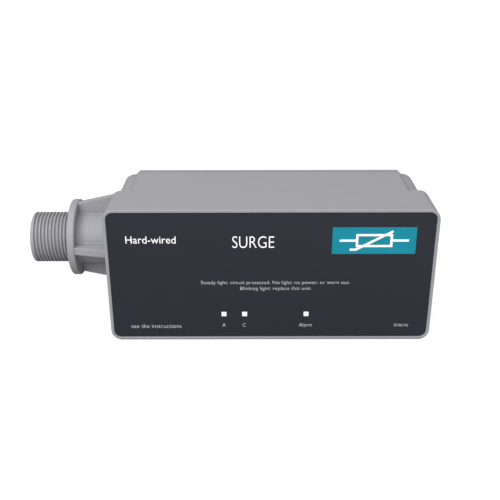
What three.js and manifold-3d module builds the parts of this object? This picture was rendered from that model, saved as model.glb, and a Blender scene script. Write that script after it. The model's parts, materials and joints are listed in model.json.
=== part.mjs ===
// A hard-wired surge protective device: a moulded box with a dark faceplate, three indicator
// windows, and a flanged, threaded conduit nipple on its left side.
//
// Millimetres, +Z up. The faceplate faces -Y and the nipple points along -X. The pieces are
// laid out from a point on the nipple's axis in the flange's seating face, and the finished
// assembly is then moved so that its origin is the centre of the rear cover's outer face.

import * as THREE from "three";
import { mergeVertices } from "three/addons/utils/BufferGeometryUtils.js";
import Module from "manifold-3d";

const wasm = await Module();
wasm.setup();

// Box: outer size, and its place relative to the nipple.
const BOX = { width: 163.2, depth: 60.5, height: 71.8 };
const FLANGE_TO_BOX = 22.2;
const AXIS_TO_FRONT = 34.8;
const AXIS_TO_TOP = 28.7;
const BOX_CORNER_RADIUS = 5.6;
const EDGE_ROUNDING = 0.9;
const WALL = 2.6;

// Behind the front block the four corners step in, and each holds a column for a cover screw.
const FRONT_BLOCK_DEPTH = 27.7;
const STEP = { side: 2.6, top: 2.6, ridge: 10.2, radius: 5.6 };
const COLUMN_INSET = 12.8;

// Faceplate, badge and indicator windows. Places are from the faceplate's top left corner.
const RIM = 1.6;
const RECESS_DEPTH = 0.7;
const FACEPLATE = { thickness: 0.4, radius: 3.6 };
const BADGE = { left: 109.8, top: 7.5, width: 41, height: 14.4, thickness: 0.2, radius: 0.6 };
const WINDOWS = { a: 56.4, c: 66.9, alarm: 98.2 };
const WINDOW = { drop: 55.5, side: 2.6, clearance: 0.1, base: 4.6, baseThickness: 1 };

// Rear cover with its gasket and screws.
const COVER = { thickness: 2.4, lipDepth: 2, lipWidth: 1.4, lipClearance: 0.4 };
const GASKET = { thickness: 0.6, width: 1.3, setback: 0.5 };
const COVER_SCREW = { head: 3, headDepth: 1.7, shank: 1.5, length: 14, clearance: 0.1, sunk: 0.1 };

// Nipple: 3/4 in trade size, 14 threads per inch, moulded in one with the box. The form gives
// the fractions of a pitch at which the root ends and the crest starts and ends. A plain
// collar just wider than the crests joins the thread to the flange.
const THREAD = { crest: 13.25, root: 12.15, pitch: 25.4 / 14, length: 20.5, chamfer: 1.5 };
const THREAD_FORM = { rootEnd: 0.16, crestStart: 0.46, crestEnd: 0.7 };
const COLLAR = { radius: 13.4, length: 0.6 };
const FLANGE = { radius: 20, thickness: 3.8, chamfer: 0.7 };
const NECK_RADIUS = 13.7;
const BORE_RADIUS = 10;
const GUSSET = { thickness: 4, atFlange: 19.6, atBox: 23.6 };

// Circuit board, its posts and screws.
const BOARD = { thickness: 1.6, standOff: 7.8, clearance: 1 };
const POST = { radius: 3.2, pilot: 1.2, pilotDepth: 6.5 };
const POST_INSET = { x: 18, z: 7.2 };
const BOARD_SCREW = { head: 2.7, headHeight: 1.8, shank: 1.1, length: 7, hole: 1.5 };

// What the board carries.
const VARISTOR = { radius: 10.8, thickness: 5, edge: 1.2, lead: 0.5, standOff: 3, leadSpacing: 7.5 };
const VARISTORS = { first: 74, pitch: 15, count: 6, height: 4 };
const FUSE = { width: 12, depth: 6, height: 6 };
const FILM_CAPACITOR = { width: 18, depth: 12, height: 8 };
const FUSE_HEIGHT = -16;
const ELECTROLYTIC = { radius: 4, height: 11.5, groove: 0.4, grooveHeight: 1.8, edge: 0.5 };
const RESISTOR = { radius: 1.9, waist: 1.6, cap: 1.5, edge: 0.5, length: 9, standOff: 1.2 };
const RESISTOR_LEAD = { radius: 0.4, reach: 3, spacing: 5 };
const CHIP = { width: 6, depth: 1.6, height: 5 };
const LED = { radius: 1.5, flange: 1.9, flangeHeight: 0.9, body: 3.2, domeSteps: 3 };
const LOW_ROW = { height: -29, film: [62, 84], electrolytic: 101, resistors: 118, chip: 136 };

// Leads: 10 AWG, cut off just inside the nipple's mouth.
const LEAD = { radius: 2.1, bore: 1.5, spacing: 6.2, stripped: 5, endFromMouth: 3 };
const CONDUCTOR_RADIUS = 1.3;
const TERMINAL = { width: 9, depth: 8, height: 8, hole: 1.5, holeDepth: 6 };
const TERMINAL_X = 52;
const TERMINAL_SPACING = 11.5;
const LEAD_START = TERMINAL_X - TERMINAL.width / 2 - 1;
const LEAD_BEND_END = 24;
const LEAD_SIDES = 10;
const PLUG = { start: 5, length: 13, clearance: 0.25, holeClearance: 0.3 };

// Sides of large and small rounds, of the thinnest wires, and steps in a rounded corner.
const ROUND = 28;
const SMALL_ROUND = 12;
const WIRE_SIDES = 6;
const ARC_STEPS = 4;

// How far a cutting tool reaches past what it cuts, and a joined piece into its neighbour.
const BEYOND = 1;

// Places that follow from the sizes above.
const box = {
  left: FLANGE_TO_BOX,
  right: FLANGE_TO_BOX + BOX.width,
  bottom: AXIS_TO_TOP - BOX.height,
  top: AXIS_TO_TOP,
};
const front = -AXIS_TO_FRONT;
const rear = front + BOX.depth;
const stepPlane = front + FRONT_BLOCK_DEPTH;
const coverFront = rear - COVER.thickness;
const housingRear = coverFront - GASKET.thickness;
const cavityFront = front + RECESS_DEPTH + WALL;
const boardFront = cavityFront + BOARD.standOff;
const boardRear = boardFront + BOARD.thickness;
const faceplateFront = front + RECESS_DEPTH - FACEPLATE.thickness;
const windowHeight = box.top - RIM - WINDOW.drop;
const flangeMiddle = FLANGE.thickness / 2;

const greyPlastic = finish(0xa6a6ac, 0.55, 0);
const darkOverlay = finish(0x32353e, 0.4, 0);
const tealInk = finish(0x0b8a8f, 0.4, 0);
const whiteLens = finish(0xf4f6f6, 0.25, 0);
const blackRubber = finish(0x1b1b1c, 0.85, 0);
const zincSteel = finish(0xb9bcc0, 0.35, 1);
const boardGreen = finish(0x1d5a35, 0.5, 0);
const varistorBlue = finish(0x2b5fa8, 0.45, 0);
const fuseCeramic = finish(0xe7e1d3, 0.6, 0);
const filmYellow = finish(0xd8a92a, 0.45, 0);
const sleeveBlack = finish(0x17181c, 0.4, 0);
const resistorTan = finish(0xc9a779, 0.5, 0);
const clearEpoxy = finish(0xdde9e0, 0.15, 0);
const redEpoxy = finish(0xc23028, 0.15, 0);
const tinnedBrass = finish(0xb8ac86, 0.3, 1);
const copper = finish(0xb8683f, 0.35, 1);
const leadBlack = finish(0x161616, 0.5, 0);
const leadWhite = finish(0xe8e8e4, 0.5, 0);
const leadGreen = finish(0x1c7a3a, 0.5, 0);

function finish(color, roughness, metalness) {
  return new THREE.MeshStandardMaterial({ color, roughness, metalness });
}

// ---- joining and cutting ----

function solid(geometry) {
  const plain = geometry.clone();
  plain.deleteAttribute("normal");
  plain.deleteAttribute("uv");
  const welded = mergeVertices(plain);
  const mesh = new wasm.Mesh({
    numProp: 3,
    vertProperties: new Float32Array(welded.attributes.position.array),
    triVerts: new Uint32Array(welded.index.array),
  });
  return new wasm.Manifold(mesh);
}

function surface(manifold) {
  const SHORTEST_EDGE = 0.002;
  const mesh = manifold.simplify(SHORTEST_EDGE).getMesh();
  const geometry = new THREE.BufferGeometry();
  geometry.setAttribute("position", new THREE.BufferAttribute(mesh.vertProperties, 3));
  geometry.setIndex(new THREE.BufferAttribute(mesh.triVerts, 1));
  geometry.computeVertexNormals();
  return geometry;
}

function joined(geometries) {
  return geometries.map(solid).reduce((whole, piece) => whole.add(piece));
}

function cut(manifold, geometries) {
  return geometries.map(solid).reduce((whole, piece) => whole.subtract(piece), manifold);
}

// ---- outlines in the XZ plane ----

// A closed outline through right-angled corner points { x, z, radius }.
function outline(points) {
  const ARC_HANDLE = 0.5523;
  const shape = new THREE.Shape();
  points.forEach((point, index) => {
    const corner = new THREE.Vector2(point.x, point.z);
    const towards = (other, distance) =>
      new THREE.Vector2(other.x, other.z).sub(corner).setLength(distance).add(corner);
    const before = points.at(index - 1);
    const after = points[(index + 1) % points.length];
    const radius = point.radius ?? 0;
    const start = towards(before, radius);
    if (index === 0) shape.moveTo(start.x, start.y);
    else shape.lineTo(start.x, start.y);
    if (radius > 0) {
      const leaving = towards(before, radius * (1 - ARC_HANDLE));
      const arriving = towards(after, radius * (1 - ARC_HANDLE));
      const end = towards(after, radius);
      shape.bezierCurveTo(leaving.x, leaving.y, arriving.x, arriving.y, end.x, end.y);
    }
  });
  shape.closePath();
  return shape;
}

// A rectangle whose four corners all follow one list of { side, top, radius } insets,
// given from the side of the rectangle up to its top.
function cornered(area, corner) {
  const at = (right, up) => corner.map(({ side, top, radius }) => ({
    x: right ? area.right - side : area.left + side,
    z: up ? area.top - top : area.bottom + top,
    radius,
  }));
  return outline([
    ...at(true, true),
    ...at(false, true).reverse(),
    ...at(false, false),
    ...at(true, false).reverse(),
  ]);
}

function rectangle(area, radius = 0) {
  return cornered(area, [{ side: 0, top: 0, radius }]);
}

function inset(area, distance) {
  return {
    left: area.left + distance,
    right: area.right - distance,
    bottom: area.bottom + distance,
    top: area.top - distance,
  };
}

// The stepped section behind the front block.
function steppedSection() {
  return cornered(box, [
    { side: 0, top: STEP.ridge },
    { side: STEP.side, top: STEP.ridge },
    { side: STEP.side, top: STEP.top, radius: STEP.radius },
    { side: STEP.ridge, top: STEP.top },
    { side: STEP.ridge, top: 0 },
  ]);
}

// The inside of the box, less its corner columns, grown or shrunk by a distance.
function cavitySection(shrink) {
  const corner = COLUMN_INSET - WALL;
  return cornered(inset(box, WALL + shrink), [
    { side: 0, top: corner },
    { side: corner, top: corner },
    { side: corner, top: 0 },
  ]);
}

function ring(outer, inner) {
  outer.holes.push(inner);
  return outer;
}

// ---- basic solids ----

// An XZ outline, extruded from one Y to another.
function slab(shape, from, to, bevel = 0) {
  const geometry = new THREE.ExtrudeGeometry(shape, {
    depth: to - from - 2 * bevel,
    curveSegments: ARC_STEPS,
    bevelEnabled: bevel > 0,
    bevelThickness: bevel,
    bevelSize: bevel,
    bevelOffset: -bevel,
    bevelSegments: 2,
  });
  geometry.rotateX(Math.PI / 2);
  geometry.translate(0, to - bevel, 0);
  return geometry;
}

function block(width, depth, height, x, y, z) {
  return new THREE.BoxGeometry(width, depth, height).translate(x, y, z);
}

// A solid of revolution about the Y axis, from [radius, y] points, listed by rising y.
function turned(profile, sides) {
  const points = profile.map(([radius, y]) => new THREE.Vector2(radius, y));
  return new THREE.LatheGeometry(points, sides);
}

// The same about the X axis, from [radius, x] points, listed by rising x.
function turnedAlongX(profile, sides) {
  return turned(profile, sides).rotateZ(-Math.PI / 2);
}

function rodAlongX(radius, from, to, sides = ROUND) {
  return turnedAlongX([[0, from], [radius, from], [radius, to], [0, to]], sides);
}

function rodAlongY(radius, from, to, sides = SMALL_ROUND) {
  return turned([[0, from], [radius, from], [radius, to], [0, to]], sides);
}

function part(name, geometry, material, position = [0, 0, 0]) {
  const mesh = new THREE.Mesh(geometry, material);
  mesh.name = name;
  mesh.position.set(...position);
  return mesh;
}

// ---- housing ----

// A screw thread along X. Its surface runs round the axis and forward by one pitch a turn,
// so the column of points a full turn on is the first column, one pitch along.
function threadedRod(from, to) {
  const { crest, root, pitch } = THREAD;
  const { rootEnd, crestStart, crestEnd } = THREAD_FORM;
  const profile = [[0, root], [rootEnd, root], [crestStart, crest], [crestEnd, crest]];
  const turns = Math.ceil((to - from) / pitch) + 2;
  const start = from - 2 * pitch;
  const count = turns * profile.length;
  const columnLength = count + profile.length + 1;
  const positions = [];
  for (let side = 0; side < ROUND; side += 1) {
    const turn = side / ROUND;
    for (let step = 0; step < columnLength; step += 1) {
      const [along, radius] = profile[step % profile.length];
      const x = start + pitch * (Math.floor(step / profile.length) + along + turn);
      const angle = 2 * Math.PI * turn;
      positions.push(x, radius * Math.cos(angle), radius * Math.sin(angle));
    }
  }
  const at = (side, step) =>
    side === ROUND ? step + profile.length : side * columnLength + step;
  const faces = [];
  for (let side = 0; side < ROUND; side += 1) {
    for (let step = 0; step < count; step += 1) {
      faces.push(at(side, step), at(side + 1, step + 1), at(side, step + 1));
      faces.push(at(side, step), at(side + 1, step), at(side + 1, step + 1));
    }
  }
  const startCentre = positions.length / 3;
  positions.push(start, 0, 0);
  const endCentre = startCentre + 1;
  positions.push(start + pitch * (turns + 1), 0, 0);
  for (let side = 0; side < ROUND; side += 1) {
    faces.push(startCentre, at(side + 1, 0), at(side, 0));
    faces.push(endCentre, at(side, count), at(side + 1, count));
  }
  for (let step = 0; step < profile.length; step += 1) {
    faces.push(startCentre, at(0, step), at(0, step + 1));
    faces.push(endCentre, at(0, count + step + 1), at(0, count + step));
  }
  const geometry = new THREE.BufferGeometry();
  geometry.setAttribute("position", new THREE.Float32BufferAttribute(positions, 3));
  geometry.setIndex(faces);
  return geometry;
}

function nippleThread() {
  const mouth = -THREAD.length;
  const envelope = turnedAlongX([
    [0, mouth],
    [THREAD.crest - THREAD.chamfer, mouth],
    [COLLAR.radius, mouth + THREAD.chamfer],
    [COLLAR.radius, 0],
    [0, 0],
  ], ROUND);
  const collar = rodAlongX(COLLAR.radius, -COLLAR.length, flangeMiddle);
  return solid(threadedRod(mouth, 0)).intersect(solid(envelope)).add(solid(collar));
}

function flange() {
  const { radius, thickness, chamfer } = FLANGE;
  return turnedAlongX([
    [0, 0],
    [radius - chamfer, 0],
    [radius, chamfer],
    [radius, thickness - chamfer],
    [radius - chamfer, thickness],
    [0, thickness],
  ], ROUND);
}

// Four tapered ribs between the flange and the box, one every quarter turn.
function gussets() {
  const end = FLANGE_TO_BOX + STEP.side + BEYOND;
  const shape = new THREE.Shape([
    new THREE.Vector2(flangeMiddle, 0),
    new THREE.Vector2(end, 0),
    new THREE.Vector2(end, GUSSET.atBox),
    new THREE.Vector2(FLANGE_TO_BOX, GUSSET.atBox),
    new THREE.Vector2(FLANGE.thickness, GUSSET.atFlange),
    new THREE.Vector2(flangeMiddle, GUSSET.atFlange),
  ]);
  const rib = new THREE.ExtrudeGeometry(shape, { depth: GUSSET.thickness, bevelEnabled: false });
  rib.translate(0, 0, -GUSSET.thickness / 2);
  return [0, 1, 2, 3].map((quarter) => rib.clone().rotateX((quarter * Math.PI) / 2));
}

function windowPlaces() {
  return Object.entries(WINDOWS).map(([name, along]) => [name, box.left + RIM + along]);
}

function windowHoles(clearance, from, to) {
  const side = WINDOW.side + 2 * clearance;
  const middle = (from + to) / 2;
  return windowPlaces().map(([, x]) => block(side, to - from, side, x, middle, windowHeight));
}

function postPlaces() {
  const inside = inset(box, WALL);
  const xs = [inside.left + POST_INSET.x, inside.right - POST_INSET.x];
  const zs = [inside.top - POST_INSET.z, inside.bottom + POST_INSET.z];
  return xs.flatMap((x) => zs.map((z) => [x, z]));
}

function coverScrewPlaces() {
  const acrossColumn = (STEP.side + COLUMN_INSET) / 2;
  const downColumn = (STEP.top + COLUMN_INSET) / 2;
  const xs = [box.left + acrossColumn, box.right - acrossColumn];
  const zs = [box.top - downColumn, box.bottom + downColumn];
  return xs.flatMap((x) => zs.map((z) => [x, z]));
}

function housing() {
  const shell = joined([
    slab(rectangle(box, BOX_CORNER_RADIUS), front, stepPlane, EDGE_ROUNDING),
    slab(steppedSection(), stepPlane - 2 * EDGE_ROUNDING, housingRear),
    rodAlongX(NECK_RADIUS, flangeMiddle, FLANGE_TO_BOX + WALL / 2),
    flange(),
    ...gussets(),
  ]).add(nippleThread());
  const screwHole = COVER_SCREW.shank + COVER_SCREW.clearance;
  const screwHoleFront = rear - COVER_SCREW.length - BEYOND;
  const hollow = cut(shell, [
    slab(cavitySection(0), cavityFront, housingRear + BEYOND),
    slab(rectangle(box), housingRear, rear),
    slab(rectangle(inset(box, RIM), FACEPLATE.radius), front - BEYOND, front + RECESS_DEPTH),
    rodAlongX(BORE_RADIUS, -THREAD.length - BEYOND, FLANGE_TO_BOX + WALL + BEYOND),
    ...windowHoles(WINDOW.clearance, front, cavityFront + BEYOND),
    ...coverScrewPlaces().map(([x, z]) =>
      rodAlongY(screwHole, screwHoleFront, rear).translate(x, 0, z)),
  ]);
  const posts = postPlaces().map(([x, z]) =>
    rodAlongY(POST.radius, cavityFront - WALL / 2, boardFront).translate(x, 0, z));
  const pilotFront = boardFront - POST.pilotDepth;
  const pilots = postPlaces().map(([x, z]) =>
    rodAlongY(POST.pilot, pilotFront, boardFront + BEYOND).translate(x, 0, z));
  return surface(cut(hollow.add(joined(posts)), pilots));
}

// ---- cover, faceplate and windows ----

function rearCover() {
  const { shank, clearance, head, headDepth, sunk } = COVER_SCREW;
  const lipOuter = cavitySection(COVER.lipClearance);
  const lipInner = cavitySection(COVER.lipClearance + COVER.lipWidth);
  const plate = joined([
    slab(steppedSection(), coverFront, rear),
    slab(ring(lipOuter, lipInner), coverFront - COVER.lipDepth, coverFront + COVER.thickness / 2),
  ]);
  const countersink = turned([
    [0, coverFront - BEYOND],
    [shank + clearance, coverFront - BEYOND],
    [shank + clearance, rear - sunk - headDepth],
    [head + clearance, rear - sunk],
    [head + clearance, rear + BEYOND],
    [0, rear + BEYOND],
  ], SMALL_ROUND);
  const holes = coverScrewPlaces().map(([x, z]) => countersink.clone().translate(x, 0, z));
  return surface(cut(plate, holes));
}

function coverGasket() {
  const shape = ring(
    cavitySection(-GASKET.setback - GASKET.width),
    cavitySection(-GASKET.setback),
  );
  return slab(shape, housingRear, coverFront);
}

function coverScrew() {
  const { head, headDepth, shank, length, sunk } = COVER_SCREW;
  const top = rear - sunk;
  const tip = 1.2;
  const body = turned([
    [0, rear - length],
    [shank, rear - length + tip],
    [shank, top - headDepth],
    [head, top],
    [0, top],
  ], SMALL_ROUND);
  const slotWidth = 0.8;
  const slotDepth = 1;
  const slot = (width, height) => block(width, 2 * slotDepth, height, 0, top, 0);
  const reach = 3.4;
  return surface(cut(solid(body), [slot(reach, slotWidth), slot(slotWidth, reach)]));
}

function faceplate() {
  const clearance = 0.1;
  const shape = rectangle(inset(box, RIM + clearance), FACEPLATE.radius - clearance);
  const sheet = slab(shape, faceplateFront, front + RECESS_DEPTH);
  return surface(cut(solid(sheet), windowHoles(WINDOW.clearance, front, cavityFront)));
}

function badge() {
  const left = box.left + RIM + BADGE.left;
  const top = box.top - RIM - BADGE.top;
  const area = { left, right: left + BADGE.width, bottom: top - BADGE.height, top };
  return slab(rectangle(area, BADGE.radius), faceplateFront - BADGE.thickness, faceplateFront);
}

function lightPipe() {
  const { side, base, baseThickness } = WINDOW;
  const middle = (faceplateFront + cavityFront) / 2;
  const pipe = block(side, cavityFront - faceplateFront, side, 0, middle, 0);
  const foot = block(base, baseThickness, base, 0, cavityFront + baseThickness / 2, 0);
  return surface(joined([pipe, foot]));
}

// ---- circuit board and what it carries ----

function circuitBoard() {
  const board = slab(cavitySection(BOARD.clearance), boardFront, boardRear);
  const holes = postPlaces().map(([x, z]) =>
    rodAlongY(BOARD_SCREW.hole, boardFront - BEYOND, boardRear + BEYOND).translate(x, 0, z));
  return surface(cut(solid(board), holes));
}

function boardScrew() {
  const { head, headHeight, shank, length } = BOARD_SCREW;
  const tip = 1;
  const crown = 1.9;
  const slotDepth = 1;
  const slotWidth = 0.8;
  const body = turned([
    [0, boardRear - length],
    [shank, boardRear - length + tip],
    [shank, boardRear],
    [head, boardRear],
    [head, boardRear + headHeight / 2],
    [crown, boardRear + headHeight],
    [0, boardRear + headHeight],
  ], SMALL_ROUND);
  const slot = block(3 * head, 2 * slotDepth, slotWidth, 0, boardRear + headHeight, 0);
  return surface(cut(solid(body), [slot]));
}

// A coated disc standing on edge on its two wire legs, at the board's rear face.
function varistor() {
  const { radius, thickness, edge, lead, standOff, leadSpacing } = VARISTOR;
  const middle = boardRear + standOff + radius;
  const side = thickness / 2;
  const disc = turnedAlongX([
    [0, -side],
    [radius - edge, -side],
    [radius, -side + edge],
    [radius, side - edge],
    [radius - edge, side],
    [0, side],
  ], ROUND).translate(0, middle, 0);
  const legs = [-leadSpacing / 2, leadSpacing / 2].map((z) =>
    rodAlongY(lead, boardRear, middle - radius / 2, WIRE_SIDES).translate(0, 0, z));
  return surface(joined([disc, ...legs]));
}

function boxOnBoard({ width, depth, height }) {
  const edge = 0.5;
  const area = { left: -width / 2, right: width / 2, bottom: -height / 2, top: height / 2 };
  return slab(rectangle(area, edge), boardRear, boardRear + depth);
}

function electrolyticCapacitor() {
  const { radius, height, groove, grooveHeight, edge } = ELECTROLYTIC;
  const middle = boardRear + grooveHeight;
  const top = boardRear + height;
  return turned([
    [0, boardRear],
    [radius, boardRear],
    [radius, middle - 1.5 * groove],
    [radius - groove, middle],
    [radius, middle + 1.5 * groove],
    [radius, top - edge],
    [radius - edge, top],
    [0, top],
  ], SMALL_ROUND);
}

// A small barrel lying over the board on its own bent leads.
function resistor() {
  const { radius, waist, cap, edge, length, standOff } = RESISTOR;
  const height = boardRear + standOff + radius;
  const end = length / 2;
  const barrel = turnedAlongX([
    [0, -end],
    [waist, -end],
    [radius, -end + edge],
    [waist, -end + cap],
    [waist, end - cap],
    [radius, end - edge],
    [waist, end],
    [0, end],
  ], SMALL_ROUND).translate(0, height, 0);
  const lead = RESISTOR_LEAD.radius;
  const reach = end + RESISTOR_LEAD.reach;
  const wire = rodAlongX(lead, -reach - lead, reach + lead, WIRE_SIDES).translate(0, height, 0);
  const legs = [-reach, reach].map((x) =>
    rodAlongY(lead * 0.9, boardRear, height, WIRE_SIDES).translate(x, 0, 0));
  return surface(joined([barrel, wire, ...legs]));
}

// A round indicator lamp on the board's front face, with its dome under a light pipe.
function lamp() {
  const { radius, flange: rim, flangeHeight, body, domeSteps } = LED;
  const dome = [];
  for (let step = 0; step < domeSteps; step += 1) {
    const angle = (step / domeSteps) * (Math.PI / 2);
    const reach = flangeHeight + body - radius + radius * Math.cos(angle);
    dome.push([radius * Math.sin(angle), boardFront - reach]);
  }
  return turned([
    ...dome,
    [radius, boardFront - flangeHeight - body + radius],
    [radius, boardFront - flangeHeight],
    [rim, boardFront - flangeHeight],
    [rim, boardFront],
    [0, boardFront],
  ], SMALL_ROUND);
}

// ---- leads ----

// Each lead leaves its terminal towards the nipple, bends across to its quarter of the neck's
// bore, and runs along the bore to just inside the mouth.
function leadRoutes() {
  const half = LEAD.spacing / 2;
  const terminalY = boardRear + TERMINAL.depth / 2;
  const quarters = [
    ["a", half, half, leadBlack],
    ["c", -half, half, leadBlack],
    ["n", -half, -half, leadWhite],
    ["g", half, -half, leadGreen],
  ];
  return quarters.map(([name, y, z, material], index) => {
    const terminalZ = (1.5 - index) * TERMINAL_SPACING;
    return { name, y, z, material, terminalY, terminalZ };
  });
}

function leadPath(route) {
  const start = new THREE.Vector3(LEAD_START, route.terminalY, route.terminalZ);
  const bore = new THREE.Vector3(LEAD_BEND_END, route.y, route.z);
  const end = new THREE.Vector3(-THREAD.length + LEAD.endFromMouth, route.y, route.z);
  const handle = new THREE.Vector3((LEAD_START - LEAD_BEND_END) / 2, 0, 0);
  const path = new THREE.CurvePath();
  path.add(new THREE.CubicBezierCurve3(
    start, start.clone().sub(handle), bore.clone().add(handle), bore,
  ));
  path.add(new THREE.LineCurve3(bore, end));
  return path;
}

function disc(radius, sides) {
  const arc = new THREE.EllipseCurve(0, 0, radius, radius);
  return new THREE.Shape(arc.getPoints(sides).slice(0, -1));
}

function alongLead(shape, route) {
  const extrudePath = leadPath(route);
  return new THREE.ExtrudeGeometry(shape, { steps: 12, extrudePath, bevelEnabled: false });
}

function leadSleeve(route) {
  return alongLead(ring(disc(LEAD.radius, LEAD_SIDES), disc(LEAD.bore, LEAD_SIDES)), route);
}

// The copper runs the length of its sleeve and on into the terminal's socket.
function leadConductor(route) {
  const core = alongLead(disc(CONDUCTOR_RADIUS, LEAD_SIDES), route);
  const overlap = 0.1;
  const tip = LEAD_START + LEAD.stripped;
  const bareEnd = rodAlongX(CONDUCTOR_RADIUS, LEAD_START - overlap, tip, LEAD_SIDES);
  return surface(joined([core, bareEnd.translate(0, route.terminalY, route.terminalZ)]));
}

function terminal() {
  const { width, depth, height, hole, holeDepth } = TERMINAL;
  const post = block(width, depth, height, 0, boardRear + depth / 2, 0);
  const mouth = -width / 2;
  const socket = rodAlongX(hole, mouth - BEYOND, mouth + holeDepth, SMALL_ROUND);
  return surface(cut(solid(post), [socket.translate(0, boardRear + depth / 2, 0)]));
}

function leadPlug() {
  const { start, length, clearance, holeClearance } = PLUG;
  const end = start + length;
  const hole = LEAD.radius + holeClearance;
  const body = rodAlongX(BORE_RADIUS - clearance, start, end);
  const holes = leadRoutes().map(({ y, z }) =>
    rodAlongX(hole, start - BEYOND, end + BEYOND, SMALL_ROUND).translate(0, y, z));
  return surface(cut(solid(body), holes));
}

// ---- assembly ----

function enclosure() {
  const group = new THREE.Group();
  group.add(part("housing", housing(), greyPlastic));
  group.add(part("rear_cover", rearCover(), greyPlastic));
  group.add(part("cover_gasket", coverGasket(), blackRubber));
  coverScrewPlaces().forEach(([x, z], index) => {
    group.add(part(`cover_screw_${index + 1}`, coverScrew(), zincSteel, [x, 0, z]));
  });
  group.add(part("faceplate", faceplate(), darkOverlay));
  group.add(part("badge", badge(), tealInk));
  for (const [name, x] of windowPlaces()) {
    group.add(part(`window_${name}`, lightPipe(), whiteLens, [x, 0, windowHeight]));
  }
  return group;
}

function electronics() {
  const group = new THREE.Group();
  group.add(part("circuit_board", circuitBoard(), boardGreen));
  postPlaces().forEach(([x, z], index) => {
    group.add(part(`board_screw_${index + 1}`, boardScrew(), zincSteel, [x, 0, z]));
  });
  for (let index = 0; index < VARISTORS.count; index += 1) {
    const x = VARISTORS.first + index * VARISTORS.pitch;
    const place = [x, 0, VARISTORS.height];
    group.add(part(`varistor_${index + 1}`, varistor(), varistorBlue, place));
  }
  ["a", "c", "n"].forEach((name, index) => {
    const x = VARISTORS.first + VARISTORS.pitch * (2 * index + 0.5);
    group.add(part(`thermal_fuse_${name}`, boxOnBoard(FUSE), fuseCeramic, [x, 0, FUSE_HEIGHT]));
  });
  const lowRow = (name, geometry, material, x, rise = 0) =>
    group.add(part(name, geometry, material, [x, 0, LOW_ROW.height + rise]));
  lowRow("film_capacitor_a", boxOnBoard(FILM_CAPACITOR), filmYellow, LOW_ROW.film[0]);
  lowRow("film_capacitor_c", boxOnBoard(FILM_CAPACITOR), filmYellow, LOW_ROW.film[1]);
  lowRow(
    "electrolytic_capacitor", electrolyticCapacitor(), sleeveBlack, LOW_ROW.electrolytic,
  );
  ["a", "c", "alarm"].forEach((name, index) => {
    const rise = (index - 1) * RESISTOR_LEAD.spacing;
    lowRow(`resistor_${name}`, resistor(), resistorTan, LOW_ROW.resistors, rise);
  });
  lowRow("controller_chip", boxOnBoard(CHIP), sleeveBlack, LOW_ROW.chip);
  for (const [name, x] of windowPlaces()) {
    const material = name === "alarm" ? redEpoxy : clearEpoxy;
    group.add(part(`led_${name}`, lamp(), material, [x, 0, windowHeight]));
  }
  return group;
}

function wiring() {
  const group = new THREE.Group();
  for (const route of leadRoutes()) {
    group.add(part(`lead_${route.name}`, leadSleeve(route), route.material));
    group.add(part(`conductor_${route.name}`, leadConductor(route), copper));
    const position = [TERMINAL_X, 0, route.terminalZ];
    group.add(part(`terminal_${route.name}`, terminal(), tinnedBrass, position));
  }
  group.add(part("lead_plug", leadPlug(), blackRubber));
  return group;
}

const surgeProtector = new THREE.Group();
surgeProtector.add(enclosure(), electronics(), wiring());
surgeProtector.position.set(-(box.left + box.right) / 2, -rear, -(box.top + box.bottom) / 2);

export default surgeProtector;
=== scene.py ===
"""Looks for the hard-wired surge protector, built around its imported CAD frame.

Lengths are millimetres in the part's own frame until a mesh is made, which is in metres:
+X to the right of the faceplate, +Y out of the back, +Z up. The nipple points along -X.
"""

import json
import math

import bmesh
import bpy
import numpy as np
from mathutils import Matrix, Vector

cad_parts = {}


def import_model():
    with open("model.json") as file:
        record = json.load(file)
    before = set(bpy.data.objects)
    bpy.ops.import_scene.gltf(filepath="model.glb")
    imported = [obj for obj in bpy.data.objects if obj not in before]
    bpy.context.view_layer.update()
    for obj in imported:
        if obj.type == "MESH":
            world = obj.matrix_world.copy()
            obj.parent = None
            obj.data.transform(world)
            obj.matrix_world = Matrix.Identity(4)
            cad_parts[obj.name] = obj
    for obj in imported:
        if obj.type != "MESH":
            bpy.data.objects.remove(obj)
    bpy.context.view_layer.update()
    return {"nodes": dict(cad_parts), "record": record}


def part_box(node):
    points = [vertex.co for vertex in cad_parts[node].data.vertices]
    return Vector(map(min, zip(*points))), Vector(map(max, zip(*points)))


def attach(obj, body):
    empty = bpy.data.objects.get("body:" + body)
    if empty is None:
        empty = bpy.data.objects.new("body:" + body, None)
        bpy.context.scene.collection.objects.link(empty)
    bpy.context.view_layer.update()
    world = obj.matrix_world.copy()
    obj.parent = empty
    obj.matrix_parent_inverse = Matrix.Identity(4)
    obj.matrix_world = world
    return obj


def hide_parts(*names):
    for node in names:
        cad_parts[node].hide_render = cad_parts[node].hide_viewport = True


MM = 0.001

# ---- sizes, in millimetres ----

# Outlines of round parts are (along, radius) pairs. SCREW_EDGE, PLUG_EDGE and PLUG_WAIST give
# changes from the part's radius.

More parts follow.
